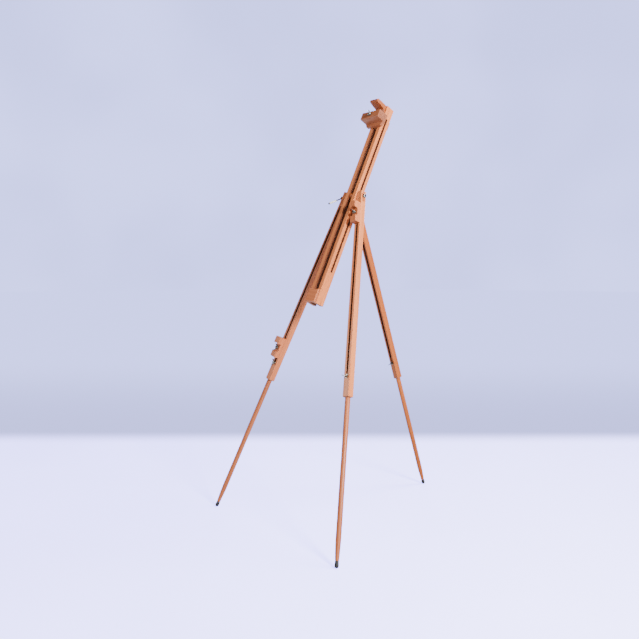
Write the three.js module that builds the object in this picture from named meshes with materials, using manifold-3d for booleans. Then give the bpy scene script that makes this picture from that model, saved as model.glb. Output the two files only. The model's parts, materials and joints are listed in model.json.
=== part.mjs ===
// Tripod field easel in beech: a slotted two-rail mast and three telescopic
// legs that all hang on one cross bolt tightened by a lever nut.
//
// Millimetres, +Z up. The origin is on the floor, in the middle of the
// footprint. The canvas side faces -Y, and +X and -X are the two front legs.

import * as THREE from 'three';
import { mergeVertices } from 'three/addons/utils/BufferGeometryUtils.js';
import Module from 'manifold-3d';

const wasm = await Module();
wasm.setup();

// ---------------------------------------------------------------- dimensions

// Cross bolt: the one axis that the mast, the legs and the lever share.
const BOLT_Y = -12.2;            // behind the middle of the footprint
const BOLT_Z = 1380.0;           // height of the bolt axis
const M6 = 3.0;                  // shank radius of every bolt
const M6_BORE = 3.3;             // radius of the holes they pass through

// Angles at rest, degrees.
const MAST_LEAN = 26.0;          // top of the mast leans back
const FRONT_TILT = 18.54;        // front legs reach forward
const FRONT_SPLAY = 13.86;       // front legs spread sideways
const REAR_TILT = 19.45;         // rear leg reaches back

// Mast: two rails with a gap that the rear leg folds into.
const RAIL_IN = 13.3;            // inner face of a rail from the centre plane
const RAIL_OUT = 30.5;           // outer face
const RAIL_D = 42.0;             // front to back
const MAST_TOP = 442.0;          // above the bolt, along the mast
const MAST_BOTTOM = -508.0;
const RAIL_SLOT_W = 8.4;
const RAIL_SLOT_TOP = 385.0;
const RAIL_SLOT_BOTTOM = -360.0;
const CROSS_H = 58.0;            // crosspiece at the foot of the mast
const CROSS_T = 12.0;

// Guide shoes: blocks on the bolt that run in the rail slots.
const SHOE_W = 7.8;
const SHOE_L = 16.0;

// Top hook, fixed between the rails.
const HOOK_HALF = 23.5;
const HOOK_REACH = 61.0;

// Top clamp, sliding below the hook.
const CLAMP_AT = 368.0;          // height of its bolt above the cross bolt
const ARM_HALF = 53.0;
const ARM_H = 36.0;
const ARM_REACH = 52.0;

// Legs.
const LEG_D = 27.4;              // front to back
const FRONT_LEG_W = 30.0;
const REAR_LEG_W = 25.6;
const COLLAR_AT = 874.0;         // lower end of an upper section, from the bolt
const CHANNEL = 10.7;            // half width of the square inner channel
const CHANNEL_TOP = 60.0;
const LEG_SLOT_W = 8.5;
const LEG_SLOT_TOP = 47.0;
const LEG_SLOT_BOTTOM = 797.0;
const LOCK_AT = 792.0;           // extension lock bolt, from the bolt
const SPLAY_PIN_X = 48.5;        // splay pin from the centre plane
const SPLAY_PIN_DROP = 14.0;     // below the cross bolt, down the swivel block

// Extensions and feet.
const DOWEL_R = 10.4;
const DOWEL_TOP = 765.0;
const TAPER_L = 78.0;
const TAPER_R = 7.2;
const FOOT_R = 8.3;              // also the radius of the ball of the foot
const FOOT_H = 26.0;

// Canvas rests on the front legs.
const REST_W = 30.0;
const REST_L = 92.0;
const REST_BOLT = 47.0;          // from the top of the rest
const LEFT_REST_AT = 676.0;      // top of the rest, from the bolt
const RIGHT_REST_AT = 42.0;

// How far each wing nut happens to be turned, degrees.
const LOCK_NUT_TURN = { left: 70, right: 12, rear: -20 };
const REST_NUT_TURN = { left: 78, right: 60 };

const GAP = 0.3;                 // air between touching pieces

// ------------------------------------------------------------------ geometry

// A closed geometry as a solid that can be cut and joined.
function solid(geometry) {
  const g = geometry.clone();
  g.deleteAttribute('normal');
  g.deleteAttribute('uv');
  const m = mergeVertices(g, 1e-4);
  const tri = [];
  for (let i = 0; i < m.index.count; i += 3) {
    const a = m.index.getX(i);
    const b = m.index.getX(i + 1);
    const c = m.index.getX(i + 2);
    if (a !== b && b !== c && c !== a) tri.push(a, b, c);
  }
  return new wasm.Manifold(new wasm.Mesh({
    numProp: 3,
    vertProperties: new Float32Array(m.attributes.position.array),
    triVerts: new Uint32Array(tri),
  }));
}

const cut = (base, ...tools) => tools.reduce((s, t) => s.subtract(t), base);
const join = (base, ...more) => more.reduce((s, t) => s.add(t), base);

function toGeometry(s) {
  const m = s.getMesh();
  const g = new THREE.BufferGeometry();
  const n = m.vertProperties.length / m.numProp;
  const pos = new Float32Array(n * 3);
  for (let i = 0; i < n; i += 1) {
    for (let k = 0; k < 3; k += 1) pos[i * 3 + k] = m.vertProperties[i * m.numProp + k];
  }
  g.setAttribute('position', new THREE.BufferAttribute(pos, 3));
  g.setIndex(Array.from(m.triVerts));
  g.computeVertexNormals();
  return g;
}

function box(x0, x1, y0, y1, z0, z1) {
  const g = new THREE.BoxGeometry(x1 - x0, y1 - y0, z1 - z0);
  g.translate((x0 + x1) / 2, (y0 + y1) / 2, (z0 + z1) / 2);
  return solid(g);
}

// Round rods along each axis, from a0 to a1, centred on the two other values.
function rodZ(r0, r1, z0, z1, x = 0, y = 0, sides = 20) {
  const g = new THREE.CylinderGeometry(r1, r0, z1 - z0, sides);
  g.rotateX(Math.PI / 2);
  g.translate(x, y, (z0 + z1) / 2);
  return solid(g);
}

function rodY(r, y0, y1, x = 0, z = 0, sides = 12) {
  const g = new THREE.CylinderGeometry(r, r, y1 - y0, sides);
  g.translate(x, (y0 + y1) / 2, z);
  return solid(g);
}

function rodX(r, x0, x1, y = 0, z = 0, sides = 12) {
  const g = new THREE.CylinderGeometry(r, r, x1 - x0, sides);
  g.rotateZ(Math.PI / 2);
  g.translate((x0 + x1) / 2, y, z);
  return solid(g);
}

function outline(points) {
  const s = new THREE.Shape();
  s.moveTo(points[0][0], points[0][1]);
  for (let i = 1; i < points.length; i += 1) s.lineTo(points[i][0], points[i][1]);
  s.closePath();
  return s;
}

// A (y, z) outline run along X.
function prismX(points, x0, x1) {
  const g = new THREE.ExtrudeGeometry(outline(points), { depth: x1 - x0, bevelEnabled: false });
  g.applyMatrix4(new THREE.Matrix4().makeBasis(
    new THREE.Vector3(0, 1, 0), new THREE.Vector3(0, 0, 1), new THREE.Vector3(1, 0, 0)));
  g.translate(x0, 0, 0);
  return solid(g);
}

// An (x, z) outline run along Y.
function prismY(points, y0, y1) {
  const g = new THREE.ExtrudeGeometry(outline(points), { depth: y1 - y0, bevelEnabled: false });
  g.rotateX(Math.PI / 2);
  g.translate(0, y1, 0);
  return solid(g);
}

// A profile of [radius, height] pairs turned about Z.
function turned(profile, sides = 20) {
  const g = new THREE.LatheGeometry(profile.map(([r, h]) => new THREE.Vector2(r, h)), sides);
  g.rotateX(Math.PI / 2);
  return solid(g);
}

function arc(cx, cy, r, from, to, steps) {
  const out = [];
  for (let i = 0; i <= steps; i += 1) {
    const a = THREE.MathUtils.degToRad(from + ((to - from) * i) / steps);
    out.push([cx + r * Math.cos(a), cy + r * Math.sin(a)]);
  }
  return out;
}

// A slot outline of width w with round ends, from z0 to z1.
function slotOutline(w, z0, z1, steps = 6) {
  const r = w / 2;
  return [...arc(0, z1 - r, r, 0, 180, steps), ...arc(0, z0 + r, r, 180, 360, steps)];
}

// The wedge that chamfers the four bottom edges of a rectangular bar.
function bottomChamfers(hx, hy, z, c) {
  const e = 1;
  return [
    prismY([[hx - c, z - e], [hx + e, z - e], [hx + e, z + c + e], [hx, z + c], [hx - c, z]], -hy - e, hy + e),
    prismY([[-hx + c, z - e], [-hx + c, z], [-hx, z + c], [-hx - e, z + c + e], [-hx - e, z - e]], -hy - e, hy + e),
    prismX([[hy - c, z - e], [hy + e, z - e], [hy + e, z + c + e], [hy, z + c], [hy - c, z]], -hx - e, hx + e),
    prismX([[-hy + c, z - e], [-hy + c, z], [-hy, z + c], [-hy - e, z + c + e], [-hy - e, z - e]], -hx - e, hx + e),
  ];
}

// ----------------------------------------------------------------- materials

const beech = (color) => () => new THREE.MeshStandardMaterial({ color, roughness: 0.5, metalness: 0.0 });
const BEECH = beech(0xd9a27c);
const BEECH_DARK = beech(0xc98b66);
const BEECH_DOWEL = beech(0xd1966f);
const STEEL = () => new THREE.MeshStandardMaterial({ color: 0xb9bcbf, roughness: 0.3, metalness: 1.0 });
const FIBRE = () => new THREE.MeshStandardMaterial({ color: 0x5b3a28, roughness: 0.8, metalness: 0.0 });
const SLEEVE = () => new THREE.MeshStandardMaterial({ color: 0xdedcd6, roughness: 0.4, metalness: 0.0 });
const RUBBER = () => new THREE.MeshStandardMaterial({ color: 0x151515, roughness: 0.75, metalness: 0.0 });

// ------------------------------------------------------------------ assembly

const easel = new THREE.Group();

const boltFrame = new THREE.Group();
boltFrame.position.set(0, BOLT_Y, BOLT_Z);
easel.add(boltFrame);

const deg = THREE.MathUtils.degToRad;

function tilted(angle) {
  const g = new THREE.Group();
  g.rotation.x = deg(angle);
  boltFrame.add(g);
  return g;
}

const mastFrame = tilted(-MAST_LEAN);
const rearFrame = tilted(REAR_TILT);
const frontFrames = { left: tilted(-FRONT_TILT), right: tilted(-FRONT_TILT) };

function put(parent, name, s, material, move) {
  const mesh = new THREE.Mesh(toGeometry(s), material());
  mesh.name = name;
  if (move) mesh.position.set(move[0], move[1], move[2]);
  parent.add(mesh);
  return mesh;
}

// ---------------------------------------------------------------- wing nuts

// A wing nut on a bolt along Y. Its seat is at y = 0 and it stands towards -Y.
// turn is how far its wings are turned from level, in degrees.
function wingNut(turn) {
  const hub = turned([[0, 0], [6.2, 0], [6.2, 2.2], [4.7, 9.0], [0, 9.0]], 12);
  const wing = [
    [3.6, 1.6], [6.5, 2.0], [12.4, 7.8], [13.9, 11.2], [13.3, 13.9],
    [11.3, 14.6], [9.2, 13.0], [7.4, 9.2], [5.2, 7.6], [3.6, 7.4],
  ];
  // wing outlines lie in (x, height) and are 2.8 thick
  const right = prismY(wing, -1.4, 1.4);
  const left = prismY(wing.map(([x, z]) => [-x, z]).reverse(), -1.4, 1.4);
  const nut = cut(join(hub, right, left), rodZ(M6_BORE, M6_BORE, -1, 16, 0, 0, 12));
  return nut.rotate([90, 0, 0]).rotate([0, turn, 0]);
}

// Washer on a bolt along Y, from y0 - t to y0.
function washerY(r, y0, t) {
  return cut(rodY(r, y0 - t, y0, 0, 0, 16), rodY(M6_BORE, y0 - t - 1, y0 + 1));
}

function washerX(r, x0, x1) {
  return cut(rodX(r, x0, x1, 0, 0, 16), rodX(M6_BORE, x0 - 1, x1 + 1));
}

// ---------------------------------------------------------------- cross bolt

{
  const head = turned([[0, 0], [8.25, 0], [8.1, 1.2], [6.6, 2.9], [3.8, 3.9], [0, 4.2]], 20)
    .rotate([0, 90, 0]).translate([65.5, 0, 0]);
  put(boltFrame, 'main_bolt', join(rodX(M6, -75.0, 66.0), head), STEEL);
  put(boltFrame, 'inner_washer_right', washerX(10, 30.8, 33.2), FIBRE);
  put(boltFrame, 'inner_washer_left', washerX(10, -33.2, -30.8), FIBRE);
  put(boltFrame, 'outer_washer_right', washerX(9, 63.8, 65.2), STEEL);
  put(boltFrame, 'outer_washer_left', washerX(9, -65.2, -63.8), STEEL);
}

// Lever nut: hub, arm, sleeve and tip, pointing forward and a little down.
{
  const leverFrame = new THREE.Group();
  leverFrame.rotation.x = deg(20);
  boltFrame.add(leverFrame);
  const armX = -74.8;
  const hub = join(
    rodX(7.0, -78.0, -65.6, 0, 0, 20),
    rodX(8.6, -68.2, -65.6, 0, 0, 20),
    rodY(2.6, -47.0, -3.0, armX, 0, 14),
    rodY(3.6, -12.0, -3.0, armX, 0, 14),
  );
  put(leverFrame, 'lever_nut', cut(hub, rodX(M6_BORE, -76.0, -64.0)), STEEL);
  const sleeve = join(
    rodY(3.7, -79.0, -40.6, armX, 0, 16),
    rodY(4.1, -43.4, -40.6, armX, 0, 16),
  );
  put(leverFrame, 'lever_sleeve', cut(sleeve, rodY(2.9, -47.4, -39.0, armX, 0, 14)), SLEEVE);
  const tip = turned([[0, 0], [3.3, 0], [3.6, 1.6], [3.3, 4.2], [2.0, 5.8], [0, 6.4]], 16)
    .rotate([90, 0, 0]).translate([armX, -79.3, 0]);
  put(leverFrame, 'lever_tip', tip, RUBBER);
}

// ---------------------------------------------------------------------- mast

{
  const y = RAIL_D / 2;
  for (const [side, s] of [['right', 1], ['left', -1]]) {
    const x0 = Math.min(s * RAIL_IN, s * RAIL_OUT);
    const x1 = Math.max(s * RAIL_IN, s * RAIL_OUT);
    let rail = box(x0, x1, -y, y, MAST_BOTTOM, MAST_TOP);
    rail = cut(
      rail,
      prismX(slotOutline(RAIL_SLOT_W, RAIL_SLOT_BOTTOM, RAIL_SLOT_TOP), x0 - 1, x1 + 1),
      // blind holes for the hook dowels and the crosspiece dowel
      rodX(3.1, Math.min(0, s * 27), Math.max(0, s * 27), 8, 428, 12),
      rodX(3.1, Math.min(0, s * 27), Math.max(0, s * 27), -8, 412, 12),
      rodY(3.1, -y - 1, -y + 16, s * 22, MAST_BOTTOM + CROSS_H / 2, 12),
    );
    put(mastFrame, `mast_rail_${side}`, rail, BEECH);
    // guide shoe on the bolt, inside the slot
    const shoe = cut(
      prismX([
        ...arc(0, SHOE_L / 2 - SHOE_W / 2, SHOE_W / 2, 0, 180, 6),
        ...arc(0, -SHOE_L / 2 + SHOE_W / 2, SHOE_W / 2, 180, 360, 6),
      ], x0 + GAP, x1 - GAP),
      rodX(M6_BORE, x0 - 1, x1 + 1),
    );
    put(mastFrame, `guide_shoe_${side}`, shoe, STEEL);
    // dowel that holds the crosspiece on this rail
    put(mastFrame, `crosspiece_dowel_${side}`,
      rodY(2.8, -y - 7.0, -y + 14.0, s * 22, MAST_BOTTOM + CROSS_H / 2, 12), BEECH_DOWEL);
  }

  // crosspiece on the front of both rails, with broken edges
  const f0 = -y - GAP;
  const f1 = f0 - CROSS_T;
  const c = 3.5;
  let cross = prismX([
    [f0, MAST_BOTTOM], [f0, MAST_BOTTOM + CROSS_H], [f1 + 2.5, MAST_BOTTOM + CROSS_H],
    [f1, MAST_BOTTOM + CROSS_H - 2.5], [f1, MAST_BOTTOM + 2.5], [f1 + 2.5, MAST_BOTTOM],
  ].reverse(), -RAIL_OUT, RAIL_OUT);
  for (const s of [1, -1]) {
    const edge = new THREE.BoxGeometry(c * 1.4142, c * 1.4142, CROSS_H + 4);
    edge.rotateZ(Math.PI / 4);
    edge.translate(s * RAIL_OUT, f1, MAST_BOTTOM + CROSS_H / 2);
    cross = cut(cross, solid(edge), rodY(3.1, f0 - 8.0, f0 + 1, s * 22, MAST_BOTTOM + CROSS_H / 2, 12));
  }
  put(mastFrame, 'mast_crosspiece', cross, BEECH);

  // hook: a nose over the front and a tongue between the rails
  const n = -y;                                  // front plane of the rails
  const tip = n - HOOK_REACH;
  const nose = prismX([
    [n - GAP, MAST_TOP - 1],
    [tip + 13, MAST_TOP + 1],
    ...arc(tip + 8.5, MAST_TOP - 7.5, 8.5, 105, 215, 7),
    [tip + 13, MAST_TOP - 15],
    ...arc(n - 22, MAST_TOP - 37, 18, 88, 0, 6),
    [n - GAP, MAST_TOP - 43],
  ], -HOOK_HALF, HOOK_HALF);
  const tongue = box(-13.0, 13.0, n - 2, y, MAST_TOP - 42, MAST_TOP);
  let hook = join(nose, tongue);
  // the nose narrows a little towards its tip
  for (const s of [1, -1]) {
    hook = cut(hook, prismPlan([
      [s * 27, n - 24], [s * HOOK_HALF, n - 34], [s * 21.5, tip - 1], [s * 27, tip - 1],
    ], MAST_TOP - 60, MAST_TOP + 20));
  }
  hook = cut(hook, rodX(3.1, -20, 20, 8, 428, 12), rodX(3.1, -20, 20, -8, 412, 12));
  put(mastFrame, 'top_hook', hook, BEECH_DARK);
  put(mastFrame, 'hook_dowel_rear', rodX(2.8, -26, 26, 8, 428, 12), BEECH_DOWEL);
  put(mastFrame, 'hook_dowel_front', rodX(2.8, -26, 26, -8, 412, 12), BEECH_DOWEL);
}

// An (x, y) outline run along Z, wound either way.
function prismPlan(points, z0, z1) {
  let area = 0;
  for (let i = 0; i < points.length; i += 1) {
    const [ax, ay] = points[i];
    const [bx, by] = points[(i + 1) % points.length];
    area += ax * by - bx * ay;
  }
  const p = area < 0 ? [...points].reverse() : points;
  const g = new THREE.ExtrudeGeometry(outline(p), { depth: z1 - z0, bevelEnabled: false });
  g.translate(0, 0, z0);
  return solid(g);
}

// Top clamp: arm, tongue and back plate squeezed on the rails by one bolt.
{
  const clampFrame = new THREE.Group();
  clampFrame.position.set(0, 0, CLAMP_AT);
  mastFrame.add(clampFrame);
  const front = -RAIL_D / 2 - GAP;
  const back = RAIL_D / 2 + GAP;
  const armFront = front - ARM_REACH;
  const h = ARM_H / 2;
  // arm, with its front edges broken
  const arm = prismX([
    [front, -h], [front, h], [armFront + 3, h], [armFront, h - 3], [armFront, -h + 3], [armFront + 3, -h],
  ].reverse(), -ARM_HALF, ARM_HALF);
  // skirt below the arm, with its ends cut back
  const skirt = prismY([
    [-ARM_HALF, -h + 1], [-42, -h - 16], [42, -h - 16], [ARM_HALF, -h + 1],
  ], front - 14, front);
  const tongue = box(-13.0, 13.0, front - 2, 15, -32, 13);
  const jaw = cut(join(arm, skirt, tongue), rodY(M6_BORE, armFront - 1, 20));
  put(clampFrame, 'top_clamp_jaw', jaw, BEECH_DARK);
  const plate = cut(
    prismY([[-25, -20], [25, -20], [25, 16], [21, 20], [-21, 20], [-25, 16]], back, back + 8),
    rodY(M6_BORE, back - 1, back + 9),
  );
  put(clampFrame, 'top_clamp_plate', plate, BEECH_DARK);
  const head = turned([[0, 0], [7.0, 0], [6.6, 1.4], [4.6, 2.8], [0, 3.4]], 18)
    .rotate([-90, 0, 0]).translate([0, back + 8.3, 0]);
  put(clampFrame, 'top_clamp_bolt', join(rodY(M6, armFront - 13.0, back + 8.6), head), STEEL);
  put(clampFrame, 'top_clamp_washer', washerY(8, armFront - GAP, 1.2), STEEL);
  put(clampFrame, 'top_clamp_wing_nut', wingNut(78), STEEL, [0, armFront - GAP - 1.2 - GAP, 0]);
}

// ---------------------------------------------------------------------- legs

// Slot in the front face, open into the channel. z values run down the leg.
function frontSlot(z0, z1) {
  return prismY(slotOutline(LEG_SLOT_W, z0, z1), -LEG_D / 2 - 1, -CHANNEL + 1.0);
}

// Extension, foot and lock for one leg. zero is the height of the station that
// the leg's lengths are measured from, and reach is the length to the floor.
function lowerLeg(parent, side, zero, ballAt) {
  const top = zero - DOWEL_TOP;
  const ball = zero - ballAt;                     // centre of the ball of the foot
  const footTop = ball - FOOT_R + FOOT_H;
  const lockZ = zero - LOCK_AT;
  const dowel = turned([
    [0, footTop - 16], [4.7, footTop - 16], [4.7, footTop + GAP], [TAPER_R, footTop + GAP],
    [8.5, footTop + 0.42 * TAPER_L], [DOWEL_R, footTop + TAPER_L],
    [DOWEL_R, top - 2], [DOWEL_R - 2, top], [0, top],
  ], 18);
  put(parent, `leg_extension_${side}`, cut(
    dowel,
    rodY(M6_BORE, -12, 12, 0, lockZ),
    rodY(5.8, 6.0, 12, 0, lockZ),
  ), BEECH_DOWEL);
  const foot = turned([
    ...arc(0, ball, FOOT_R, -90, 0, 5),
    [FOOT_R, ball + 5], [7.0, footTop], [0, footTop],
  ].map(([r, z], i) => (i === 0 ? [0, z] : [r, z])), 18);
  put(parent, `foot_${side}`, cut(foot, rodZ(5.15, 5.15, footTop - 16.6, footTop + 1, 0, 0, 14)), RUBBER);
  const bolt = join(rodY(M6, -27.0, 7.2), rodY(5.2, 6.6, 9.6)).translate([0, 0, lockZ]);
  put(parent, `lock_bolt_${side}`, bolt, STEEL);
  const seat = -LEG_D / 2 - GAP;
  put(parent, `lock_washer_${side}`, washerY(8, seat, 1.2), STEEL, [0, 0, lockZ]);
  put(parent, `lock_wing_nut_${side}`, wingNut(LOCK_NUT_TURN[side]), STEEL, [0, seat - 1.2 - GAP, lockZ]);
}

// Rear leg: its head sits between the rails.
{
  const hx = REAR_LEG_W / 2;
  const hy = LEG_D / 2;
  const top = 17.5;
  const c = 5.0;
  const upper = prismX([
    [-hy, -COLLAR_AT], [hy, -COLLAR_AT], [hy, top - c], [hy - c, top], [-hy + c, top], [-hy, top - c],
  ], -hx, hx);
  put(rearFrame, 'rear_leg_upper', cut(
    upper,
    rodX(M6_BORE, -hx - 1, hx + 1),
    box(-CHANNEL, CHANNEL, -CHANNEL, CHANNEL, -COLLAR_AT - 5, -CHANNEL_TOP),
    frontSlot(-LEG_SLOT_BOTTOM, -LEG_SLOT_TOP),
    ...bottomChamfers(hx, hy, -COLLAR_AT, 1.6),
  ), BEECH_DARK);
  lowerLeg(rearFrame, 'rear', 0, (BOLT_Z - FOOT_R) / Math.cos(deg(REAR_TILT)));
}

// Canvas rest: ledge, recess for the wing nut and lower block, on a T-bolt.
function canvasRest(parent, side, topZ) {
  const frame = new THREE.Group();
  frame.position.set(0, 0, topZ - REST_BOLT);
  parent.add(frame);
  const back = -LEG_D / 2 - GAP;
  const up = REST_BOLT;
  const down = REST_BOLT - REST_L;
  const hx = REST_W / 2;
  const base = back - 17.0;
  let body = prismX([
    [back, down], [back, up], [back - 33.5, up], [back - 36, up - 2.5], [back - 36, 17],
    [base - 4, 17], ...arc(base - 4, 13, 4, 90, 0, 4), ...arc(base - 4, -13, 4, 0, -90, 4),
    [back - 27, -17], [back - 27, down + 3], [back - 24, down],
  ].reverse(), -hx, hx);
  body = cut(
    body,
    // the recess is hollowed round the nut
    rodY(20.5, back - 40, base, 0, 0, 28),
    rodY(M6_BORE, base - 1, back + 1),
  );
  put(frame, `canvas_rest_${side}`, body, BEECH);
  const plateFront = -CHANNEL + GAP;
  const tBolt = join(
    box(-6, 6, plateFront, plateFront + 2.4, -10, 10),
    rodY(M6, base - 13.0, plateFront + 0.5),
  );
  put(frame, `rest_bolt_${side}`, tBolt, STEEL);
  put(frame, `rest_washer_${side}`, washerY(7, base - GAP, 1.2), STEEL);
  put(frame, `rest_wing_nut_${side}`, wingNut(REST_NUT_TURN[side]), STEEL, [0, base - GAP - 1.2 - GAP, 0]);
}

// Front legs: a swivel block on the cross bolt, a pin through it, and the leg.
for (const [side, s] of [['right', 1], ['left', -1]]) {
  const tiltFrame = frontFrames[side];
  const hx = FRONT_LEG_W / 2;
  const hy = LEG_D / 2;

  const swivelFrame = new THREE.Group();
  swivelFrame.position.set(s * SPLAY_PIN_X, 0, 0);
  tiltFrame.add(swivelFrame);
  const block = cut(
    prismY([[-hx, -23], [hx, -23], [hx, 12], [hx - 4, 16], [-hx + 4, 16], [-hx, 12]], -7.2, 7.2),
    rodX(M6_BORE, -hx - 1, hx + 1),
    rodY(2.75, -8, 8, 0, -SPLAY_PIN_DROP),
  );
  put(swivelFrame, `swivel_block_${side}`, block, BEECH_DARK);

  const splayFrame = new THREE.Group();
  splayFrame.position.set(s * SPLAY_PIN_X, 0, -SPLAY_PIN_DROP);
  splayFrame.rotation.y = -s * deg(FRONT_SPLAY);
  tiltFrame.add(splayFrame);

  // height of the bolt-level station above the pin, along the splayed leg
  const zero = SPLAY_PIN_DROP / Math.cos(deg(FRONT_SPLAY));
  const top = 34.0;
  const end = zero - COLLAR_AT;
  const bevel = [[-hx - 1, 2], [-hx, 2], [-7, top], [-7, top + 1], [-hx - 1, top + 1]]
    .map(([x, z]) => [s * x, z]);
  const upper = cut(
    box(-hx, hx, -hy, hy, end, top),
    box(-hx - 1, hx + 1, -7.5, 7.5, -14, top + 1),
    prismY(s > 0 ? [...bevel].reverse() : bevel, -hy - 1, hy + 1),
    rodY(2.75, -hy - 1, hy + 1),
    box(-CHANNEL, CHANNEL, -CHANNEL, CHANNEL, end - 5, zero - CHANNEL_TOP),
    frontSlot(zero - LEG_SLOT_BOTTOM, zero - LEG_SLOT_TOP),
    ...bottomChamfers(hx, hy, end, 3.0),
  );
  put(splayFrame, `front_leg_upper_${side}`, upper, BEECH);
  put(splayFrame, `splay_pin_${side}`, rodY(2.5, -hy + 0.3, hy - 0.3, 0, 0, 14), STEEL);

  const ballAt = (BOLT_Z - FOOT_R) / (Math.cos(deg(FRONT_TILT)) * Math.cos(deg(FRONT_SPLAY)));
  lowerLeg(splayFrame, side, zero, ballAt);
  canvasRest(splayFrame, side, zero - (side === 'left' ? LEFT_REST_AT : RIGHT_REST_AT));
}

export default easel;
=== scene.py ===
import json
import math
import random

import bmesh
import bpy
from mathutils import Euler, Matrix, Vector


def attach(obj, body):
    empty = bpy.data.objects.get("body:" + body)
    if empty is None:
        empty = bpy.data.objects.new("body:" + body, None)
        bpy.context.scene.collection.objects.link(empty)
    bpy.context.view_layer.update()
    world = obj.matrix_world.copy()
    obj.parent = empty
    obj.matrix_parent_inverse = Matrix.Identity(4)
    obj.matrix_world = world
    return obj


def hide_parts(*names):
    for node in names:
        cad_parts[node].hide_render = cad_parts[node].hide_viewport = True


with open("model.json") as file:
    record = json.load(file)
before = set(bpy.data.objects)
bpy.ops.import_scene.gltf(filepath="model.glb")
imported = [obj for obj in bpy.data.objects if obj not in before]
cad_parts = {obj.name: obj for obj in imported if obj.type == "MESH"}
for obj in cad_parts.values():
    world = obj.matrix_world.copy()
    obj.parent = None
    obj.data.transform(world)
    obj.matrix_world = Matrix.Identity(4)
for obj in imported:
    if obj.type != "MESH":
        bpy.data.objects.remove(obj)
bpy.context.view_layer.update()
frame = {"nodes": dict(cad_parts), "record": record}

scene = bpy.context.scene
record = frame["record"]
BODY_OF = {n: b for b, ns in record["behaviour"]["bodies"].items() for n in ns}

# ------------------------------------------------------------ the CAD frames

BOLT = Vector((0.0, -0.0122, 1.380))
MAST_LEAN, FRONT_TILT, FRONT_SPLAY, REAR_TILT = 26.0, 18.54, 13.86, 19.45
PIN_X, PIN_DROP = 0.0485, 0.014
LEG_D = 0.0274
GAP = 0.0003
ZERO = PIN_DROP / math.cos(math.radians(FRONT_SPLAY))


def rx(a):
    return Matrix.Rotation(math.radians(a), 4, "X")


def ry(a):
    return Matrix.Rotation(math.radians(a), 4, "Y")


def tr(x, y, z):
    return Matrix.Translation((x, y, z))


HEAD = Matrix.Translation(BOLT)
MAST = HEAD @ rx(-MAST_LEAN)
REAR = HEAD @ rx(REAR_TILT)
TILT = HEAD @ rx(-FRONT_TILT)
LEVER = HEAD @ rx(20.0)
LEG = {
    side: TILT @ tr(s * PIN_X, 0, -PIN_DROP) @ ry(-s * FRONT_SPLAY)
    for side, s in (("right", 1), ("left", -1))
}
SWIVEL = {side: TILT @ tr(s * PIN_X, 0, 0) for side, s in (("right", 1), ("left", -1))}

# ----------------------------------------------------------------- materials


def new_material(name):
    m = bpy.data.materials.new(name)
    m.use_nodes = True
    nt = m.node_tree
    nt.nodes.clear()
    out = nt.nodes.new("ShaderNodeOutputMaterial")
    bsdf = nt.nodes.new("ShaderNodeBsdfPrincipled")
    nt.links.new(bsdf.outputs[0], out.inputs[0])
    return m, nt, bsdf


def srgb(r, g, b):
    def lin(c):
        c /= 255.0
        return c / 12.92 if c <= 0.04045 else ((c + 0.055) / 1.055) ** 2.4

    return (lin(r), lin(g), lin(b), 1.0)


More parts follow.
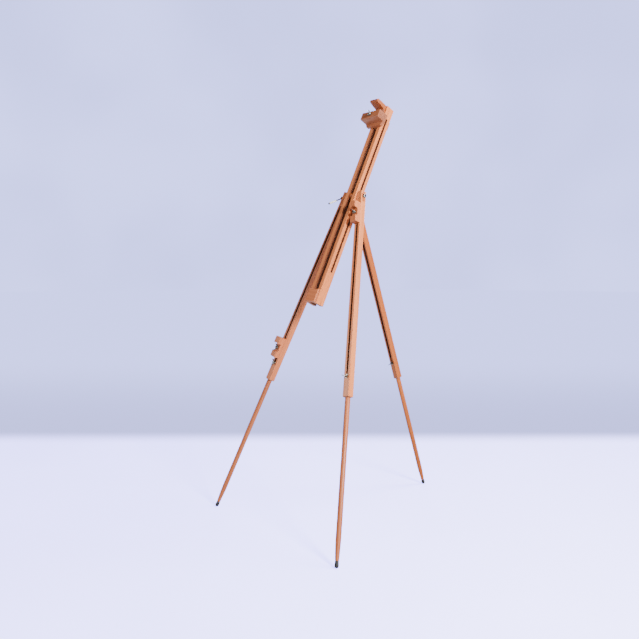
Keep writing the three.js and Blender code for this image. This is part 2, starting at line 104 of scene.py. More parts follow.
class Net:
    """Short ways to add shader nodes."""

    def __init__(self, nt):
        self.nt = nt

    def node(self, kind, **settings):
        n = self.nt.nodes.new(kind)
        for k, v in settings.items():
            setattr(n, k, v)
        return n

    def link(self, a, b):
        self.nt.links.new(a, b)

    def put(self, value, socket):
        if isinstance(value, bpy.types.NodeSocket):
            self.link(value, socket)
        else:
            socket.default_value = value

    def math(self, op, a, b=None, clamp=False):
        n = self.node("ShaderNodeMath", operation=op, use_clamp=clamp)
        self.put(a, n.inputs[0])
        if b is not None:
            self.put(b, n.inputs[1])
        return n.outputs[0]

    def mapping(self, vec, loc=(0, 0, 0), rot=(0, 0, 0), scale=(1, 1, 1)):
        n = self.node("ShaderNodeMapping", vector_type="POINT")
        self.link(vec, n.inputs["Vector"])
        n.inputs["Location"].default_value = loc
        n.inputs["Rotation"].default_value = rot
        n.inputs["Scale"].default_value = scale
        return n.outputs[0]

    def noise(self, vec, scale=1.0, detail=2.0, rough=0.5, distortion=0.0):
        n = self.node("ShaderNodeTexNoise")
        self.link(vec, n.inputs["Vector"])
        n.inputs["Scale"].default_value = scale
        n.inputs["Detail"].default_value = detail
        n.inputs["Roughness"].default_value = rough
        n.inputs["Distortion"].default_value = distortion
        return n.outputs[0]

    def ramp(self, fac, stops):
        n = self.node("ShaderNodeValToRGB")
        self.put(fac, n.inputs[0])
        el = n.color_ramp.elements
        while len(el) < len(stops):
            el.new(0.5)
        for e, (p, c) in zip(el, stops):
            e.position = p
            e.color = c if len(c) == 4 else (*c, 1.0)
        return n.outputs[0]

    def step(self, fac, a, b, lo=0.0, hi=1.0):
        n = self.node("ShaderNodeMapRange", interpolation_type="SMOOTHSTEP")
        self.put(fac, n.inputs["Value"])
        n.inputs["From Min"].default_value = a
        n.inputs["From Max"].default_value = b
        n.inputs["To Min"].default_value = lo
        n.inputs["To Max"].default_value = hi
        return n.outputs[0]

    def mix(self, fac, a, b, blend="MIX"):
        n = self.node("ShaderNodeMix", data_type="RGBA", blend_type=blend)
        self.put(fac, n.inputs[0])
        self.put(a, n.inputs[6])
        self.put(b, n.inputs[7])
        return n.outputs[2]

    def inside(self, vec, lo, hi, soft=0.00015):
        """1 inside the box lo..hi (millimetres), 0 outside."""
        sep = self.node("ShaderNodeSeparateXYZ")
        self.link(vec, sep.inputs[0])
        out = None
        for i in range(3):
            mid, half = (lo[i] + hi[i]) / 2000.0, (hi[i] - lo[i]) / 2000.0
            d = self.math("ABSOLUTE", self.math("SUBTRACT", sep.outputs[i], mid))
            one = self.step(d, half + soft, half - soft)
            out = one if out is None else self.math("MULTIPLY", out, one)
        return out

    def bump(self, height, strength, distance, normal=None):
        n = self.node("ShaderNodeBump")
        self.put(height, n.inputs["Height"])
        n.inputs["Strength"].default_value = strength
        n.inputs["Distance"].default_value = distance
        if normal is not None:
            self.link(normal, n.inputs["Normal"])
        return n.outputs[0]


def beech(name, matrix, seed, light, mid, dark, edge=0.0, cuts=(), home=None, coat=0.22, rims=()):
    """Satin-varnished beech. matrix is the frame of the piece, whose Z runs along the grain.

    cuts are boxes (millimetres, in the frame home) round the routed channels and slots, whose inside is darkened
    with painted shade.
    rims are boxes in the same frame where painted shade darkens an edge.
    """
    rnd = random.Random(seed)
    m, nt, bsdf = new_material(name)
    k = Net(nt)
    co = k.node("ShaderNodeTexCoord")
    rot = matrix.to_3x3().inverted().to_euler("XYZ")
    shift = (rnd.uniform(-3, 3), rnd.uniform(-3, 3), rnd.uniform(-3, 3))
    p = k.mapping(co.outputs["Object"], loc=shift, rot=tuple(rot))
    nrm = k.mapping(co.outputs["Normal"], rot=tuple(rot))
    sep = k.node("ShaderNodeSeparateXYZ")
    k.link(nrm, sep.inputs[0])
    endgrain = k.step(k.math("ABSOLUTE", sep.outputs[2]), 0.82, 0.97)

    # growth bands: slow waves across the board, drawn out along the grain
    warp = k.noise(k.mapping(p, scale=(9, 9, 1.6)), 1.0, 2.0, 0.5)
    warp_v = k.node("ShaderNodeCombineXYZ")
    k.link(k.math("MULTIPLY", k.math("SUBTRACT", warp, 0.5), 0.030), warp_v.inputs[0])
    k.link(k.math("MULTIPLY", k.math("SUBTRACT", warp, 0.5), 0.022), warp_v.inputs[1])
    add = k.node("ShaderNodeVectorMath", operation="ADD")
    k.link(p, add.inputs[0])
    k.link(warp_v.outputs[0], add.inputs[1])
    pw = add.outputs[0]
    bands = k.noise(k.mapping(pw, scale=(95, 60, 2.2)), 1.0, 3.0, 0.55, 0.3)
    streak = k.noise(k.mapping(pw, scale=(420, 330, 7.0)), 1.0, 3.0, 0.6)
    fine = k.noise(k.mapping(pw, scale=(1500, 1500, 26)), 1.0, 2.0, 0.6)
    # the short dark flecks that mark beech
    fleck_n = k.noise(k.mapping(pw, scale=(1900, 1500, 240)), 1.0, 1.0, 0.5)
    fleck = k.step(fleck_n, 0.635, 0.70)
    # silvery rays on the quarter faces
    ray_n = k.noise(k.mapping(pw, scale=(240, 2200, 420)), 1.0, 1.0, 0.5)
    ray = k.step(ray_n, 0.64, 0.72)
    board = k.noise(k.mapping(p, scale=(7, 7, 0.9)), 1.0, 1.0, 0.5)

    tone = k.math("ADD", k.math("MULTIPLY", bands, 0.55), k.math("MULTIPLY", streak, 0.30))
    tone = k.math("ADD", tone, k.math("MULTIPLY", fine, 0.15))
    base = k.ramp(tone, [(0.36, dark), (0.50, mid), (0.66, light)])
    base = k.mix(k.step(board, 0.35, 0.68, 0.0, 0.22), base, mid)
    base = k.mix(k.math("MULTIPLY", fleck, 0.5), base, (dark[0] * 0.42, dark[1] * 0.36, dark[2] * 0.36, 1))
    base = k.mix(k.math("MULTIPLY", ray, 0.25), base, (light[0] * 1.15, light[1] * 1.35, light[2] * 1.7, 1))
    # cut ends drink more varnish: darker, with the rings showing
    rings = k.noise(k.mapping(p, scale=(260, 90, 30)), 1.0, 3.0, 0.6)
    ends = k.ramp(rings, [(0.38, (dark[0] * 0.45, dark[1] * 0.42, dark[2] * 0.42, 1)), (0.62, (mid[0] * 0.8, mid[1] * 0.78, mid[2] * 0.75, 1))])
    base = k.mix(k.math("MULTIPLY", endgrain, 0.75), base, ends)
    # bevelled edges get a paler, bluer tone: partly edge wear, partly a painted highlight
    if edge:
        base = k.mix(edge, base, (min(0.8, light[0] * 1.2), light[1] * 1.7, light[2] * 2.4, 1))
    # handling marks: soft darker patches, and faint scuffs
    dirt = k.step(k.noise(k.mapping(p, scale=(22, 22, 9)), 1.0, 4.0, 0.65), 0.56, 0.74, 0.0, 0.14)
    base = k.mix(dirt, base, (dark[0] * 0.5, dark[1] * 0.45, dark[2] * 0.45, 1))
    if cuts or rims:
        back = (home or matrix).inverted()
        pl = k.mapping(co.outputs["Object"], loc=tuple(back.to_translation()), rot=tuple(back.to_euler("XYZ")))
        for lo, hi in rims:
            # painted shade along the rim, broken up by the grain streaks
            painted_rim_shade = k.math("MULTIPLY", k.inside(pl, lo, hi, 0.0009), k.step(streak, 0.2, 0.8, 0.62, 0.35))
            base = k.mix(painted_rim_shade, base, (dark[0] * 0.30, dark[1] * 0.24, dark[2] * 0.24, 1))
    if cuts:
        inside = None
        for lo, hi in cuts:
            one = k.inside(pl, lo, hi)
            inside = one if inside is None else k.math("MAXIMUM", inside, one)
        # painted shade inside the routed channels and slots, broken up by the grain streaks
        painted_channel_shade = k.math("MULTIPLY", inside, k.step(streak, 0.25, 0.75, 0.97, 0.80))
        base = k.mix(painted_channel_shade, base, (dark[0] * 0.20, dark[1] * 0.16, dark[2] * 0.16, 1))
    k.link(base, bsdf.inputs["Base Color"])
    rough = k.math("ADD", 0.36, k.math("MULTIPLY", streak, 0.16))
    rough = k.math("ADD", rough, k.math("MULTIPLY", k.noise(k.mapping(p, scale=(35, 35, 35)), 1.0, 3.0, 0.6), 0.12))
    rough = k.math("ADD", rough, k.math("MULTIPLY", endgrain, 0.14), clamp=True)
    if cuts:
        rough = k.math("ADD", rough, k.math("MULTIPLY", inside, 0.3), clamp=True)
    k.link(rough, bsdf.inputs["Roughness"])
    h = k.math("ADD", k.math("MULTIPLY", fine, 0.5), k.math("MULTIPLY", streak, 0.5))
    h = k.math("SUBTRACT", h, k.math("MULTIPLY", fleck, 0.6))
    k.link(k.bump(h, 0.28, 0.00025), bsdf.inputs["Normal"])
    bsdf.inputs["Coat Weight"].default_value = coat
    bsdf.inputs["Coat Roughness"].default_value = 0.24
    bsdf.inputs["Coat IOR"].default_value = 1.5
    bsdf.inputs["IOR"].default_value = 1.45
    return m


def steel(name, tint=(0.60, 0.60, 0.585), rough=0.27, scale=900.0):
    m, nt, bsdf = new_material(name)
    k = Net(nt)
    co = k.node("ShaderNodeTexCoord")
    p = co.outputs["Object"]
    cloud = k.noise(p, 260.0, 4.0, 0.6)
    grit = k.noise(p, scale * 3, 3.0, 0.6)
    c = k.ramp(cloud, [
        (0.35, (tint[0] * 0.72, tint[1] * 0.71, tint[2] * 0.68, 1)),
        (0.65, (tint[0] * 1.12, tint[1] * 1.12, tint[2] * 1.13, 1)),
    ])
    spots = k.step(k.noise(p, 700.0, 2.0, 0.5), 0.66, 0.74)
    c = k.mix(k.math("MULTIPLY", spots, 0.5), c, (0.20, 0.17, 0.13, 1))
    k.link(c, bsdf.inputs["Base Color"])
    bsdf.inputs["Metallic"].default_value = 1.0
    r = k.math("ADD", rough - 0.07, k.math("MULTIPLY", cloud, 0.22))
    r = k.math("ADD", r, k.math("MULTIPLY", spots, 0.2), clamp=True)
    k.link(r, bsdf.inputs["Roughness"])
    k.link(k.bump(grit, 0.22, 0.00008), bsdf.inputs["Normal"])
    return m


def rubber(name):
    m, nt, bsdf = new_material(name)
    k = Net(nt)
    co = k.node("ShaderNodeTexCoord")
    p = co.outputs["Object"]
    n = k.noise(p, 420.0, 5.0, 0.7)
    c = k.ramp(n, [(0.3, (0.006, 0.006, 0.007, 1)), (0.75, (0.022, 0.022, 0.023, 1))])
    # pale floor dust caught on the lower edge
    sep = k.node("ShaderNodeSeparateXYZ")
    k.link(p, sep.inputs[0])
    dust = k.math("MULTIPLY", k.step(sep.outputs[2], 0.009, 0.001), k.step(k.noise(p, 900.0, 3.0, 0.6), 0.42, 0.7))
    c = k.mix(k.math("MULTIPLY", dust, 0.35), c, (0.18, 0.175, 0.17, 1))
    k.link(c, bsdf.inputs["Base Color"])
    k.link(k.math("ADD", 0.5, k.math("MULTIPLY", n, 0.3), clamp=True), bsdf.inputs["Roughness"])
    k.link(k.bump(k.noise(p, 1800.0, 3.0, 0.7), 0.35, 0.00012), bsdf.inputs["Normal"])
    bsdf.inputs["IOR"].default_value = 1.5
    return m


def plastic(name, a, b, rough, coat=0.0):
    m, nt, bsdf = new_material(name)
    k = Net(nt)
    co = k.node("ShaderNodeTexCoord")
    p = co.outputs["Object"]
    n = k.noise(p, 190.0, 4.0, 0.6)
    scuff = k.step(k.noise(k.mapping(p, scale=(900, 200, 900)), 1.0, 3.0, 0.6), 0.60, 0.75)
    c = k.ramp(n, [(0.35, a), (0.7, b)])
    c = k.mix(k.math("MULTIPLY", scuff, 0.25), c, (a[0] * 0.55, a[1] * 0.53, a[2] * 0.5, 1))
    k.link(c, bsdf.inputs["Base Color"])
    k.link(k.math("ADD", rough, k.math("MULTIPLY", scuff, 0.25), clamp=True), bsdf.inputs["Roughness"])
    k.link(k.bump(k.noise(p, 1400.0, 3.0, 0.6), 0.15, 0.00006), bsdf.inputs["Normal"])
    bsdf.inputs["Coat Weight"].default_value = coat
    bsdf.inputs["Coat Roughness"].default_value = 0.15
    return m




def shades(r, g, b):
    """Light, middle and dark tone of one board, in linear colour."""
    return ((r * 1.22, g * 1.30, b * 1.45, 1), (r, g, b, 1), (r * 0.74, g * 0.66, b * 0.56, 1))


# Board tones. DEEP, for the rear leg, is darker partly as painted shade; RUST darkens the whole top hook as painted
# shade for its shaded front face.
PALE = shades(0.60, 0.175, 0.050)
PINK = shades(0.50, 0.135, 0.040)
WARM = shades(0.42, 0.105, 0.024)
DOWEL = shades(0.37, 0.098, 0.030)
DEEP = shades(0.39, 0.090, 0.011)
RUST = shades(0.34, 0.078, 0.014)
CLAY = shades(0.33, 0.098, 0.036)

STEEL = steel("zinc_steel", (0.27, 0.265, 0.235), 0.17)
STEEL_DARK = steel("blued_steel", (0.09, 0.082, 0.068), 0.30)
RUBBER = rubber("black_rubber")
FIBRE = plastic("red_brown_fibre", (0.10, 0.045, 0.025, 1), (0.16, 0.075, 0.04, 1), 0.55)
SLEEVE = plastic("white_sleeve", (0.66, 0.65, 0.61, 1), (0.74, 0.73, 0.69, 1), 0.28, 0.3)

# -------------------------------------------------------------------- meshes


def finish_object(name, me, node_names, body, materials, smooth=35.0):
    o = bpy.data.objects.new(name, me)
    scene.collection.objects.link(o)
    for m in materials:
        me.materials.append(m)
    for poly in me.polygons:
        poly.use_smooth = True
    sharp_by_angle(me, smooth)
    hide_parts(*node_names)
    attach(o, body)
    return o


def sharp_by_angle(me, degrees):
    bm = bmesh.new()
    bm.from_mesh(me)
    lim = math.radians(degrees)
    for e in bm.edges:
        e.smooth = not (len(e.link_faces) != 2 or e.calc_face_angle(0.0) > lim)
    bm.to_mesh(me)
    bm.free()


def carried(node, materials, bevel=0.0012, segments=3, angle=38.0):
    """A cleaned copy of a CAD node with its edges eased, standing for that node."""
    src = frame["nodes"][node].data
    bm = bmesh.new()
    bm.from_mesh(src)
    bmesh.ops.remove_doubles(bm, verts=bm.verts, dist=2e-5)
    bmesh.ops.dissolve_degenerate(bm, dist=1e-6, edges=bm.edges)
    bmesh.ops.dissolve_limit(bm, angle_limit=math.radians(0.6), verts=bm.verts, edges=bm.edges)
    bmesh.ops.recalc_face_normals(bm, faces=bm.faces)
    me = bpy.data.meshes.new("mesh_" + node)
    bm.to_mesh(me)
    bm.free()
    for a in [a.name for a in me.attributes if a.name in ("custom_normal", "sharp_face")]:
        me.attributes.remove(me.attributes[a])
    o = finish_object("looks_" + node, me, [node], BODY_OF[node], materials, 30.0)
    if bevel:
        b = o.modifiers.new("eased_edges", "BEVEL")
        b.width = bevel
        b.segments = segments
        b.limit_method = "ANGLE"
        b.angle_limit = math.radians(angle)
        b.use_clamp_overlap = True
        b.harden_normals = False
        if len(materials) > 1:
            b.material = 1
        w = o.modifiers.new("weighted", "WEIGHTED_NORMAL")
        w.keep_sharp = False
    return o


def lathe_bm(bm, profile, segs, matrix, closed=False):
    """Turns [radius, height] pairs about Z and moves the result by matrix."""
    rows = []
    for r, h in profile:
        if r < 1e-9:
            rows.append([bm.verts.new(matrix @ Vector((0, 0, h)))])
        else:
            rows.append([
                bm.verts.new(matrix @ Vector((r * math.cos(2 * math.pi * i / segs), r * math.sin(2 * math.pi * i / segs), h)))
                for i in range(segs)
            ])
    pairs = list(zip(rows, rows[1:]))
    if closed:
        pairs.append((rows[-1], rows[0]))
    for a, b in pairs:
        for i in range(segs):
            j = (i + 1) % segs
            if len(a) == 1 and len(b) == 1:
                continue
            if len(a) == 1:
                bm.faces.new((a[0], b[i], b[j]))
            elif len(b) == 1:
                bm.faces.new((a[i], a[j], b[0]))
            else:
                bm.faces.new((a[i], a[j], b[j], b[i]))
    bmesh.ops.recalc_face_normals(bm, faces=bm.faces)


def to_mesh(bm, name):
    me = bpy.data.meshes.new(name)
    bmesh.ops.recalc_face_normals(bm, faces=bm.faces)
    bm.to_mesh(me)
    bm.free()
    return me


def turned_piece(node, profile, matrix, materials, segs=56, closed=False, smooth=32.0, scale=0.001):
    bm = bmesh.new()
    lathe_bm(bm, [(r * scale, h * scale) for r, h in profile], segs, matrix, closed)
    me = to_mesh(bm, "mesh_" + node)
    return finish_object("looks_" + node, me, [node], BODY_OF[node], materials, smooth)


def arc(cx, cy, r, a0, a1, n):
    out = []
    for i in range(n + 1):
        a = math.radians(a0 + (a1 - a0) * i / n)
        out.append((cx + r * math.cos(a), cy + r * math.sin(a)))
    return out


def thread(r, z0, z1, pitch=1.0, depth=0.42):
    """Profile of a threaded length, from z0 up to z1."""
    out = []
    n = max(1, int(round((z1 - z0) / pitch)))
    for i in range(n):
        a = z0 + (z1 - z0) * i / n
        b = (z1 - z0) / n
        out += [(r - depth, a + 0.08 * b), (r, a + 0.42 * b), (r, a + 0.58 * b), (r - depth, a + 0.92 * b)]
    return out


# ------------------------------------------------------- hardware, wing nuts

Y_OUT = rx(90)        # turns a Z profile so that it stands towards -Y


def wing_nut_master():
    """One cast wing nut in millimetres, seat at z = 0, wings along X, fused by a remesh."""
    bm = bmesh.new()
    lathe_bm(bm, [
        (3.3, 0.0), (6.0, 0.0), (6.25, 0.3), (6.2, 1.6), (5.9, 2.6), (5.2, 6.2), (4.8, 8.4), (4.4, 8.95), (3.3, 9.0),
    ], 64, Matrix.Identity(4), closed=True)
    outline = [
        (3.9, 1.5), (6.3, 1.9), (8.6, 3.3), (10.8, 5.6), (12.5, 7.9), (13.6, 10.0), (13.85, 11.8), (13.5, 13.3),
        (12.6, 14.3), (11.4, 14.45), (10.3, 13.7), (9.2, 12.4), (8.2, 10.8), (6.8, 9.0), (5.4, 7.9), (3.9, 7.6),
    ]
    for s in (1, -1):
        pts = [(s * x, z) for x, z in outline]
        front, back = [], []
        for i, (x, z) in enumerate(pts):
            t = 1.45 - 0.35 * min(1.0, max(0.0, (abs(x) - 6) / 6))
            front.append(bm.verts.new((x, -t, z)))
            back.append(bm.verts.new((x, t, z)))
        bm.faces.new(front)
        bm.faces.new(list(reversed(back)))
        n = len(pts)
        for i in range(n):
            j = (i + 1) % n
            bm.faces.new((front[j], front[i], back[i], back[j]))
    bmesh.ops.recalc_face_normals(bm, faces=bm.faces)
    me = bpy.data.meshes.new("wing_nut_master")
    bm.to_mesh(me)
    bm.free()
    o = bpy.data.objects.new("wing_nut_master", me)
    scene.collection.objects.link(o)
    r = o.modifiers.new("fuse", "REMESH")
    r.mode = "VOXEL"
    r.voxel_size = 0.33
    s = o.modifiers.new("cast", "SMOOTH")
    s.factor = 0.5
    s.iterations = 4
    d = o.modifiers.new("lighter", "DECIMATE")
    d.ratio = 0.35
    dg = bpy.context.evaluated_depsgraph_get()
    out = bpy.data.meshes.new_from_object(o.evaluated_get(dg))
    bpy.data.objects.remove(o)
    bpy.data.meshes.remove(me)
    out.name = "wing_nut_cast"
    return out


WING = wing_nut_master()


def wing_nut(node, matrix, seat_y, z, turn):
    """matrix is the frame of the bolt's piece; the bolt runs along its Y."""
    me = WING.copy()
    me.name = "mesh_" + node
    place = matrix @ tr(0, seat_y, z) @ ry(-turn) @ Y_OUT @ Matrix.Scale(0.001, 4)
    me.transform(place)
    me.materials.clear()
    return finish_object("looks_" + node, me, [node], BODY_OF[node], [STEEL], 60.0)


def washer(node, matrix, r, t, materials, bore=3.4):
    return turned_piece(node, [
        (bore, 0.0), (r - 0.25, 0.0), (r, 0.25), (r, t - 0.25), (r - 0.25, t), (bore + 0.2, t), (bore, t - 0.2),
    ], matrix, materials, 56, closed=True, smooth=25)


def bolt_y(node, parts, matrix, smooth=40.0):
    """A bolt along -Y made of closed profiles given in millimetres along that direction."""
    bm = bmesh.new()
    for profile in parts:
        lathe_bm(bm, [(r * 0.001, h * 0.001) for r, h in profile], 36, matrix @ Y_OUT)
    me = to_mesh(bm, "mesh_" + node)
    return finish_object("looks_" + node, me, [node], BODY_OF[node], [STEEL], smooth)


# ---------------------------------------------------------------------- wood

WOODS = {}


def wood(node, matrix, palette, seed, edge=0.16, cuts=(), home=None, rims=()):
    light, mid, dark = palette
    a = beech("beech_" + node, matrix, seed, light, mid, dark, cuts=cuts, home=home, rims=rims)
    b = beech("beech_edge_" + node, matrix, seed, light, mid, dark, edge=edge, cuts=cuts, home=home, rims=rims)
    return [a, b]


# boxes round the gap between the rails and round the slots and bores of the mast and legs, darkened inside with
# painted shade
RAIL_CUTS = [((-13.5, -23, -520), (13.5, 23, 450)), ((-32, -5.8, -361.5), (32, 5.8, 386.5))]


def leg_cuts(zero):
    return [((-10.9, -10.9, -890), (10.9, 10.9, zero - 59.5)), ((-5.7, -15, zero - 798.2), (5.7, -10, zero - 45.8))]



# the lower end of the leg's collar, darkened with painted shade
def leg_rims(zero):
    return [((-18, -16, zero - 878), (18, 16, zero - 870.8))]


ACROSS = ry(90)       # grain along X instead of Z

carried("mast_rail_right", wood("mast_rail_right", MAST, PALE, 11, cuts=RAIL_CUTS), 0.0013)
carried("mast_rail_left", wood("mast_rail_left", MAST, PALE, 12, cuts=RAIL_CUTS), 0.0013)
carried("mast_crosspiece", wood("mast_crosspiece", MAST @ ACROSS, PINK, 13), 0.0010)
# the hook's darker RUST tone is painted shade
carried("top_hook", wood("top_hook", MAST @ rx(90), RUST, 14), 0.0016)
carried("top_clamp_jaw", wood("top_clamp_jaw", MAST @ ACROSS, CLAY, 15), 0.0013)
carried("top_clamp_plate", wood("top_clamp_plate", MAST @ ACROSS, WARM, 16), 0.0012)
# the rear leg's darker DEEP tone is partly painted shade
carried("rear_leg_upper", wood("rear_leg_upper", REAR, DEEP, 17, cuts=leg_cuts(0.0), rims=leg_rims(0.0)), 0.0011)
for side, seed in (("right", 21), ("left", 31)):
    carried("front_leg_upper_" + side, wood("front_leg_upper_" + side, LEG[side], PALE if side == "right" else PINK, seed, cuts=leg_cuts(ZERO * 1000), rims=leg_rims(ZERO * 1000)), 0.0015)
    carried("swivel_block_" + side, wood("swivel_block_" + side, SWIVEL[side], WARM, seed + 1), 0.0008)
    carried("canvas_rest_" + side, wood("canvas_rest_" + side, LEG[side], PINK, seed + 2), 0.0012)
for node, m, seed in (
    ("hook_dowel_rear", MAST @ ACROSS, 41), ("hook_dowel_front", MAST @ ACROSS, 42),
    ("crosspiece_dowel_right", MAST @ rx(90), 43), ("crosspiece_dowel_left", MAST @ rx(90), 44),
):
    carried(node, wood(node, m, WARM, seed)[:1], 0.0)
for node in ("guide_shoe_right", "guide_shoe_left"):
    carried(node, [STEEL], 0.0006, 2)


# extensions, feet and locks
def lower_leg(side, matrix, zero, ball_at, seed, turn):
    top = zero * 1000 - 765.0
    ball = (zero - ball_at) * 1000
    foot_top = ball - 8.3 + 26.0
    lock = zero * 1000 - 792.0
    # turned taper, eased where it starts
    profile = [(0, foot_top - 16), (4.2, foot_top - 16), (4.7, foot_top - 15.5), (4.7, foot_top + 0.3),
               (7.0, foot_top + 0.3), (7.25, foot_top + 0.6)]
    for i in range(1, 13):
        t = i / 12
        profile.append((7.25 + (10.35 - 7.25) * (1 - (1 - t) ** 1.55), foot_top + 0.6 + 78 * t))
    profile += [(10.35, top - 2), (9.6, top - 0.6), (8.4, top), (0, top)]
    # the rear extension's darker DEEP tone is partly painted shade
    light, mid, dark = DOWEL if side != "rear" else DEEP
    mat = beech("beech_extension_" + side, matrix, seed, light, mid, dark, coat=0.05)
    leg = turned_piece("leg_extension_" + side, profile, matrix, [mat], 64)
    # cross bore for the lock bolt
    bm = bmesh.new()
    lathe_bm(bm, [(0, -0.013), (0.0033, -0.013), (0.0033, 0.0088), (0.0058, 0.0088), (0.0058, 0.013), (0, 0.013)],
             32, matrix @ tr(0, 0, lock / 1000) @ rx(-90))
    tool = bpy.data.objects.new("tool", to_mesh(bm, "tool"))
    scene.collection.objects.link(tool)
    bo = leg.modifiers.new("bore", "BOOLEAN")
    bo.operation = "DIFFERENCE"
    bo.object = tool
    bo.solver = "EXACT"
    dg = bpy.context.evaluated_depsgraph_get()
    me = bpy.data.meshes.new_from_object(leg.evaluated_get(dg))
    leg.modifiers.clear()
    leg.data = me
    sharp_by_angle(me, 32)
    bpy.data.objects.remove(tool)

    b = ball
    turned_piece("foot_" + side, [
        (0, b - 8.15)] + arc(0, b, 8.15, -80, 0, 12) + [
        (8.15, b + 3.6), (7.75, b + 4.0), (7.7, b + 4.6), (8.05, b + 5.0), (8.0, b + 5.6),
        (7.55, b + 9.2), (7.1, b + 13.5), (6.95, foot_top - 0.6), (6.6, foot_top), (5.3, foot_top),
        (5.1, foot_top - 0.4), (5.1, foot_top - 16.6), (0, foot_top - 16.6)],
        matrix, [RUBBER], 56)

    at = matrix @ tr(0, 0, lock / 1000)
    bolt_y("lock_bolt_" + side, [
        [(0, -9.6), (4.6, -9.6), (5.15, -9.1), (5.2, -6.9), (4.9, -6.6), (3.0, -6.6), (3.0, 12.0)]
        + thread(3.0, 12.0, 26.0) + [(2.5, 26.5), (2.0, 27.0), (0, 27.0)],
    ], at)
    seat = -LEG_D / 2 * 1000 - 0.3
    washer("lock_washer_" + side, at @ tr(0, seat / 1000, 0) @ Y_OUT, 8.0, 1.2, [STEEL])
    wing_nut("lock_wing_nut_" + side, at, (seat - 1.5) / 1000, 0.0, turn)


ball_front = (BOLT.z - 0.0083) / (math.cos(math.radians(FRONT_TILT)) * math.cos(math.radians(FRONT_SPLAY)))
ball_rear = (BOLT.z - 0.0083) / math.cos(math.radians(REAR_TILT))
lower_leg("right", LEG["right"], ZERO, ball_front, 51, -12)
lower_leg("left", LEG["left"], ZERO, ball_front, 52, -70)
lower_leg("rear", REAR, 0.0, ball_rear, 53, 20)

# canvas rests: bolt, washer, nut
for side, rest_at, turn in (("left", 0.676, -78), ("right", 0.042, -60)):
    at = LEG[side] @ tr(0, 0, ZERO - rest_at - 0.047)
    base = -LEG_D / 2 * 1000 - 0.3 - 17.0
    carried("rest_bolt_" + side, [STEEL], 0.0)
    washer("rest_washer_" + side, at @ tr(0, (base - 0.3) / 1000, 0) @ Y_OUT, 7.0, 1.2, [STEEL])
    wing_nut("rest_wing_nut_" + side, at, (base - 1.8) / 1000, 0.0, turn)

# splay pins: plain steel with domed ends
for side in ("right", "left"):
    h = LEG_D / 2 * 1000 - 0.3
    turned_piece("splay_pin_" + side, [
        (0, -h), (1.9, -h + 0.05), (2.4, -h + 0.5), (2.48, -h + 1.0), (2.48, h - 1.0), (2.4, h - 0.5), (1.9, h - 0.05), (0, h),
    ], LEG[side] @ Y_OUT, [STEEL], 32)

# clamp hardware
CLAMP = MAST @ tr(0, 0, 0.368)
arm_front = -21.3 - 52.0
back = 21.3
bolt_y("top_clamp_bolt", [
    [(0, -(back + 11.7)), (2.6, -(back + 11.5)), (4.9, -(back + 10.9)), (6.5, -(back + 9.9)), (7.0, -(back + 8.9)),
     (7.0, -(back + 8.3)), (3.0, -(back + 8.3)), (3.0, 66.0)]
    + thread(3.0, 66.0, 85.0) + [(2.5, 85.6), (2.0, 86.3), (0, 86.3)],
], CLAMP)
washer("top_clamp_washer", CLAMP @ tr(0, (arm_front - 0.3) / 1000, 0) @ Y_OUT, 8.0, 1.2, [STEEL])
wing_nut("top_clamp_wing_nut", CLAMP, (arm_front - 1.8) / 1000, 0.0, -78)

# cross bolt, its washers and the lever nut
X_OUT = ry(90)        # turns a Z profile so that it stands towards +X
turned_piece("main_bolt", [
    (0, -75.0), (2.0, -75.0), (2.5, -74.4)] + thread(3.0, -74.0, -66.0) + [
    (3.0, -65.6), (3.0, 65.5), (7.9, 65.5), (8.25, 65.9), (8.25, 66.5), (7.9, 67.3), (7.1, 68.1), (5.8, 68.8),
    (4.2, 69.3), (2.2, 69.6), (0, 69.7)], HEAD @ X_OUT, [STEEL], 64)
for side, s in (("right", 1), ("left", -1)):
    x0 = 63.8 if s > 0 else -65.2
    washer("outer_washer_" + side, HEAD @ tr(x0 / 1000, 0, 0) @ X_OUT, 9.0, 1.4, [STEEL])
    x0 = 30.8 if s > 0 else -33.2
    washer("inner_washer_" + side, HEAD @ tr(x0 / 1000, 0, 0) @ X_OUT, 10.0, 2.4, [FIBRE])

ARM_X = -74.8
bm = bmesh.new()
lathe_bm(bm, [(r * 0.001, h * 0.001) for r, h in [
    (3.3, -65.6), (8.3, -65.6), (8.6, -65.9), (8.6, -67.8), (8.2, -68.3), (7.2, -68.9), (7.0, -69.6), (7.0, -76.8),
    (6.6, -77.6), (5.6, -78.0), (0, -78.0), (0, -76.0), (3.3, -76.0)]], 48, LEVER @ X_OUT, closed=True)
bmesh.ops.remove_doubles(bm, verts=bm.verts, dist=1e-7)
lathe_bm(bm, [(r * 0.001, h * 0.001) for r, h in [
    (0, 5.4), (3.6, 5.4), (3.6, 9.6), (3.2, 11.6), (2.7, 13.2), (2.6, 15.0), (2.6, 46.0), (2.1, 47.0), (0, 47.0)]],
    32, LEVER @ tr(ARM_X / 1000, 0, 0) @ Y_OUT)
me = to_mesh(bm, "mesh_lever_nut")
finish_object("looks_lever_nut", me, ["lever_nut"], BODY_OF["lever_nut"], [STEEL_DARK], 32)
arm = LEVER @ tr(ARM_X / 1000, 0, 0) @ Y_OUT
turned_piece("lever_sleeve", [
    (2.9, 40.6), (3.8, 40.6), (4.1, 41.0), (4.1, 43.0), (3.8, 43.6), (3.65, 44.4), (3.7, 60.0), (3.65, 78.4), (3.3, 79.0),
    (0, 79.0), (0, 47.4), (2.9, 47.4)], arm, [SLEEVE], 40, closed=True)
turned_piece("lever_tip", [
    (0, 79.3), (3.3, 79.3), (3.55, 80.4), (3.6, 81.2), (3.35, 83.2), (2.6, 84.7), (1.4, 85.5), (0, 85.7)], arm, [RUBBER], 40)

# ------------------------------------------------------- floor, light, camera


WALL = (1.23, 1.34, 2.95, 1.0)
WALL_LOW = (0.92, 0.97, 2.05, 1.0)


def only_seen(o):
    """A studio surface that is in the picture but throws no light back on the easel."""
    o.visible_diffuse = False
    o.visible_glossy = False
    o.visible_transmission = False
    o.visible_shadow = False


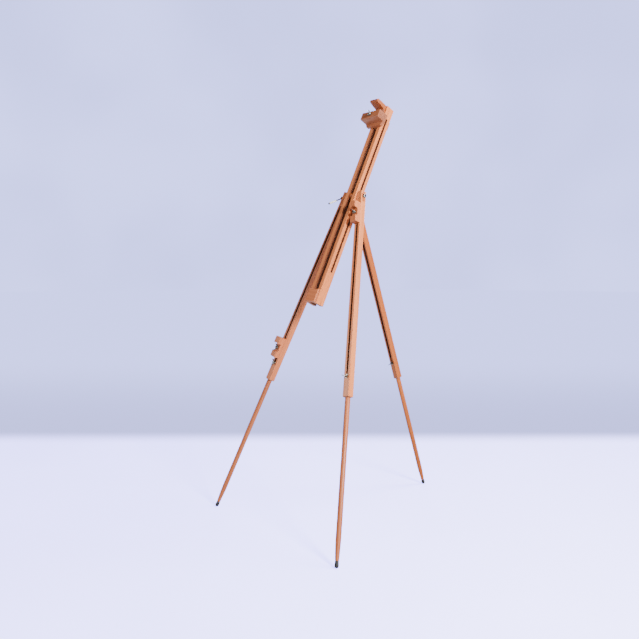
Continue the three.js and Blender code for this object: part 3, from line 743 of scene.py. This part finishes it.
def floor():
    bm = bmesh.new()
    lathe_bm(bm, [(0, 0), (0.8, 0), (2, 0), (5, 0), (12, 0), (24, 0)], 96, tr(0, 0, -0.0004))
    me = to_mesh(bm, "floor")
    o = bpy.data.objects.new("floor", me)
    scene.collection.objects.link(o)
    m, nt, bsdf = new_material("floor")
    k = Net(nt)
    co = k.node("ShaderNodeTexCoord")
    ln = k.node("ShaderNodeVectorMath", operation="DOT_PRODUCT")
    k.link(co.outputs["Object"], ln.inputs[0])
    ln.inputs[1].default_value = (-0.759, 0.651, 0.0)
    soft = k.noise(k.mapping(co.outputs["Object"], scale=(1.4, 1.4, 1.4)), 1.0, 2.0, 0.5)
    bsdf.inputs["Base Color"].default_value = (0.80, 0.81, 0.90, 1.0)
    bsdf.inputs["Roughness"].default_value = 0.9
    bsdf.inputs["Specular IOR Level"].default_value = 0.1
    k.link(k.mix(soft, (1.25, 1.15, 4.6, 1.0), (1.60, 1.48, 5.4, 1.0)), bsdf.inputs["Emission Color"])
    bsdf.inputs["Emission Strength"].default_value = 1.0
    em = k.node("ShaderNodeEmission")
    k.link(k.mix(k.step(ln.outputs["Value"], 1.3, 4.5), WALL_LOW, WALL), em.inputs["Color"])
    mx = k.node("ShaderNodeMixShader")
    k.link(k.step(ln.outputs["Value"], 1.02, 1.34), mx.inputs[0])
    k.link(bsdf.outputs[0], mx.inputs[1])
    k.link(em.outputs[0], mx.inputs[2])
    out = [n for n in nt.nodes if n.type == "OUTPUT_MATERIAL"][0]
    k.link(mx.outputs[0], out.inputs[0])
    me.materials.append(m)
    only_seen(o)


def backdrop():
    bm = bmesh.new()
    bmesh.ops.create_uvsphere(bm, u_segments=64, v_segments=32, radius=24.0)
    me = bpy.data.meshes.new("backdrop")
    bm.to_mesh(me)
    bm.free()
    for poly in me.polygons:
        poly.use_smooth = True
    o = bpy.data.objects.new("backdrop", me)
    scene.collection.objects.link(o)
    m, nt, bsdf = new_material("backdrop")
    nt.nodes.remove(bsdf)
    k = Net(nt)
    em = k.node("ShaderNodeEmission")
    co = k.node("ShaderNodeTexCoord")
    cloud = k.noise(co.outputs["Object"], 0.16, 2.0, 0.5)
    k.link(k.mix(k.step(cloud, 0.3, 0.7), (1.12, 1.22, 2.70, 1.0), (1.34, 1.46, 3.20, 1.0)), em.inputs["Color"])
    out = [n for n in nt.nodes if n.type == "OUTPUT_MATERIAL"][0]
    k.link(em.outputs[0], out.inputs[0])
    me.materials.append(m)
    only_seen(o)


floor()
backdrop()

# light of the room: dim above and in front, the pale floor below
world = bpy.data.worlds.new("studio")
scene.world = world
world.use_nodes = True
wn = world.node_tree
wn.nodes.clear()
wk = Net(wn)
wo = wn.nodes.new("ShaderNodeOutputWorld")
bg = wn.nodes.new("ShaderNodeBackground")
wc = wn.nodes.new("ShaderNodeTexCoord")
ws = wk.node("ShaderNodeSeparateXYZ")
wn.links.new(wc.outputs["Generated"], ws.inputs[0])
side_light = wk.mix(wk.step(ws.outputs[0], -0.6, 0.9), (0.12, 0.115, 0.13, 1.0), (0.36, 0.35, 0.38, 1.0))
below = wk.mix(wk.step(ws.outputs[2], 0.02, -0.30), side_light, (1.15, 1.14, 1.30, 1.0))
wn.links.new(below, bg.inputs[0])
bg.inputs[1].default_value = 1.0
wn.links.new(bg.outputs[0], wo.inputs[0])


def area(name, at, to, size, power, color=(1, 1, 1)):
    d = bpy.data.lights.new(name, "AREA")
    d.shape = "DISK"
    d.size = size
    d.energy = power
    d.color = color
    o = bpy.data.objects.new(name, d)
    o.location = at
    o.rotation_euler = (Vector(to) - Vector(at)).to_track_quat("-Z", "Y").to_euler()
    scene.collection.objects.link(o)
    return o


area("key", (3.4, -0.6, 2.3), (0, 0, 0.95), 1.0, 350, (1.0, 0.97, 0.93))
area("fill", (-2.6, -3.2, 1.7), (0, 0, 0.9), 1.4, 55, (1.0, 0.98, 0.98))
area("top", (1.2, 1.8, 4.0), (0, 0, 0.6), 1.6, 190, (0.98, 0.98, 1.0))
area("rim", (-2.6, 2.4, 2.6), (0, 0, 0.9), 1.2, 60, (0.97, 0.98, 1.0))

a, p = math.radians(49.36), math.radians(4.967)
bck = Vector((math.sin(a) * math.cos(p), -math.cos(a) * math.cos(p), math.sin(p)))
rgt = Vector((math.cos(a), math.sin(a), 0))
upv = bck.cross(rgt)
cam_data = bpy.data.cameras.new("camera")
cam = bpy.data.objects.new("camera", cam_data)
cam.matrix_world = Matrix((
    (rgt.x, upv.x, bck.x, 2.1216), (rgt.y, upv.y, bck.y, -2.0294), (rgt.z, upv.z, bck.z, 1.1015), (0, 0, 0, 1)))
cam_data.sensor_width = 36.0
cam_data.lens = 37.592
scene.collection.objects.link(cam)
scene.camera = cam
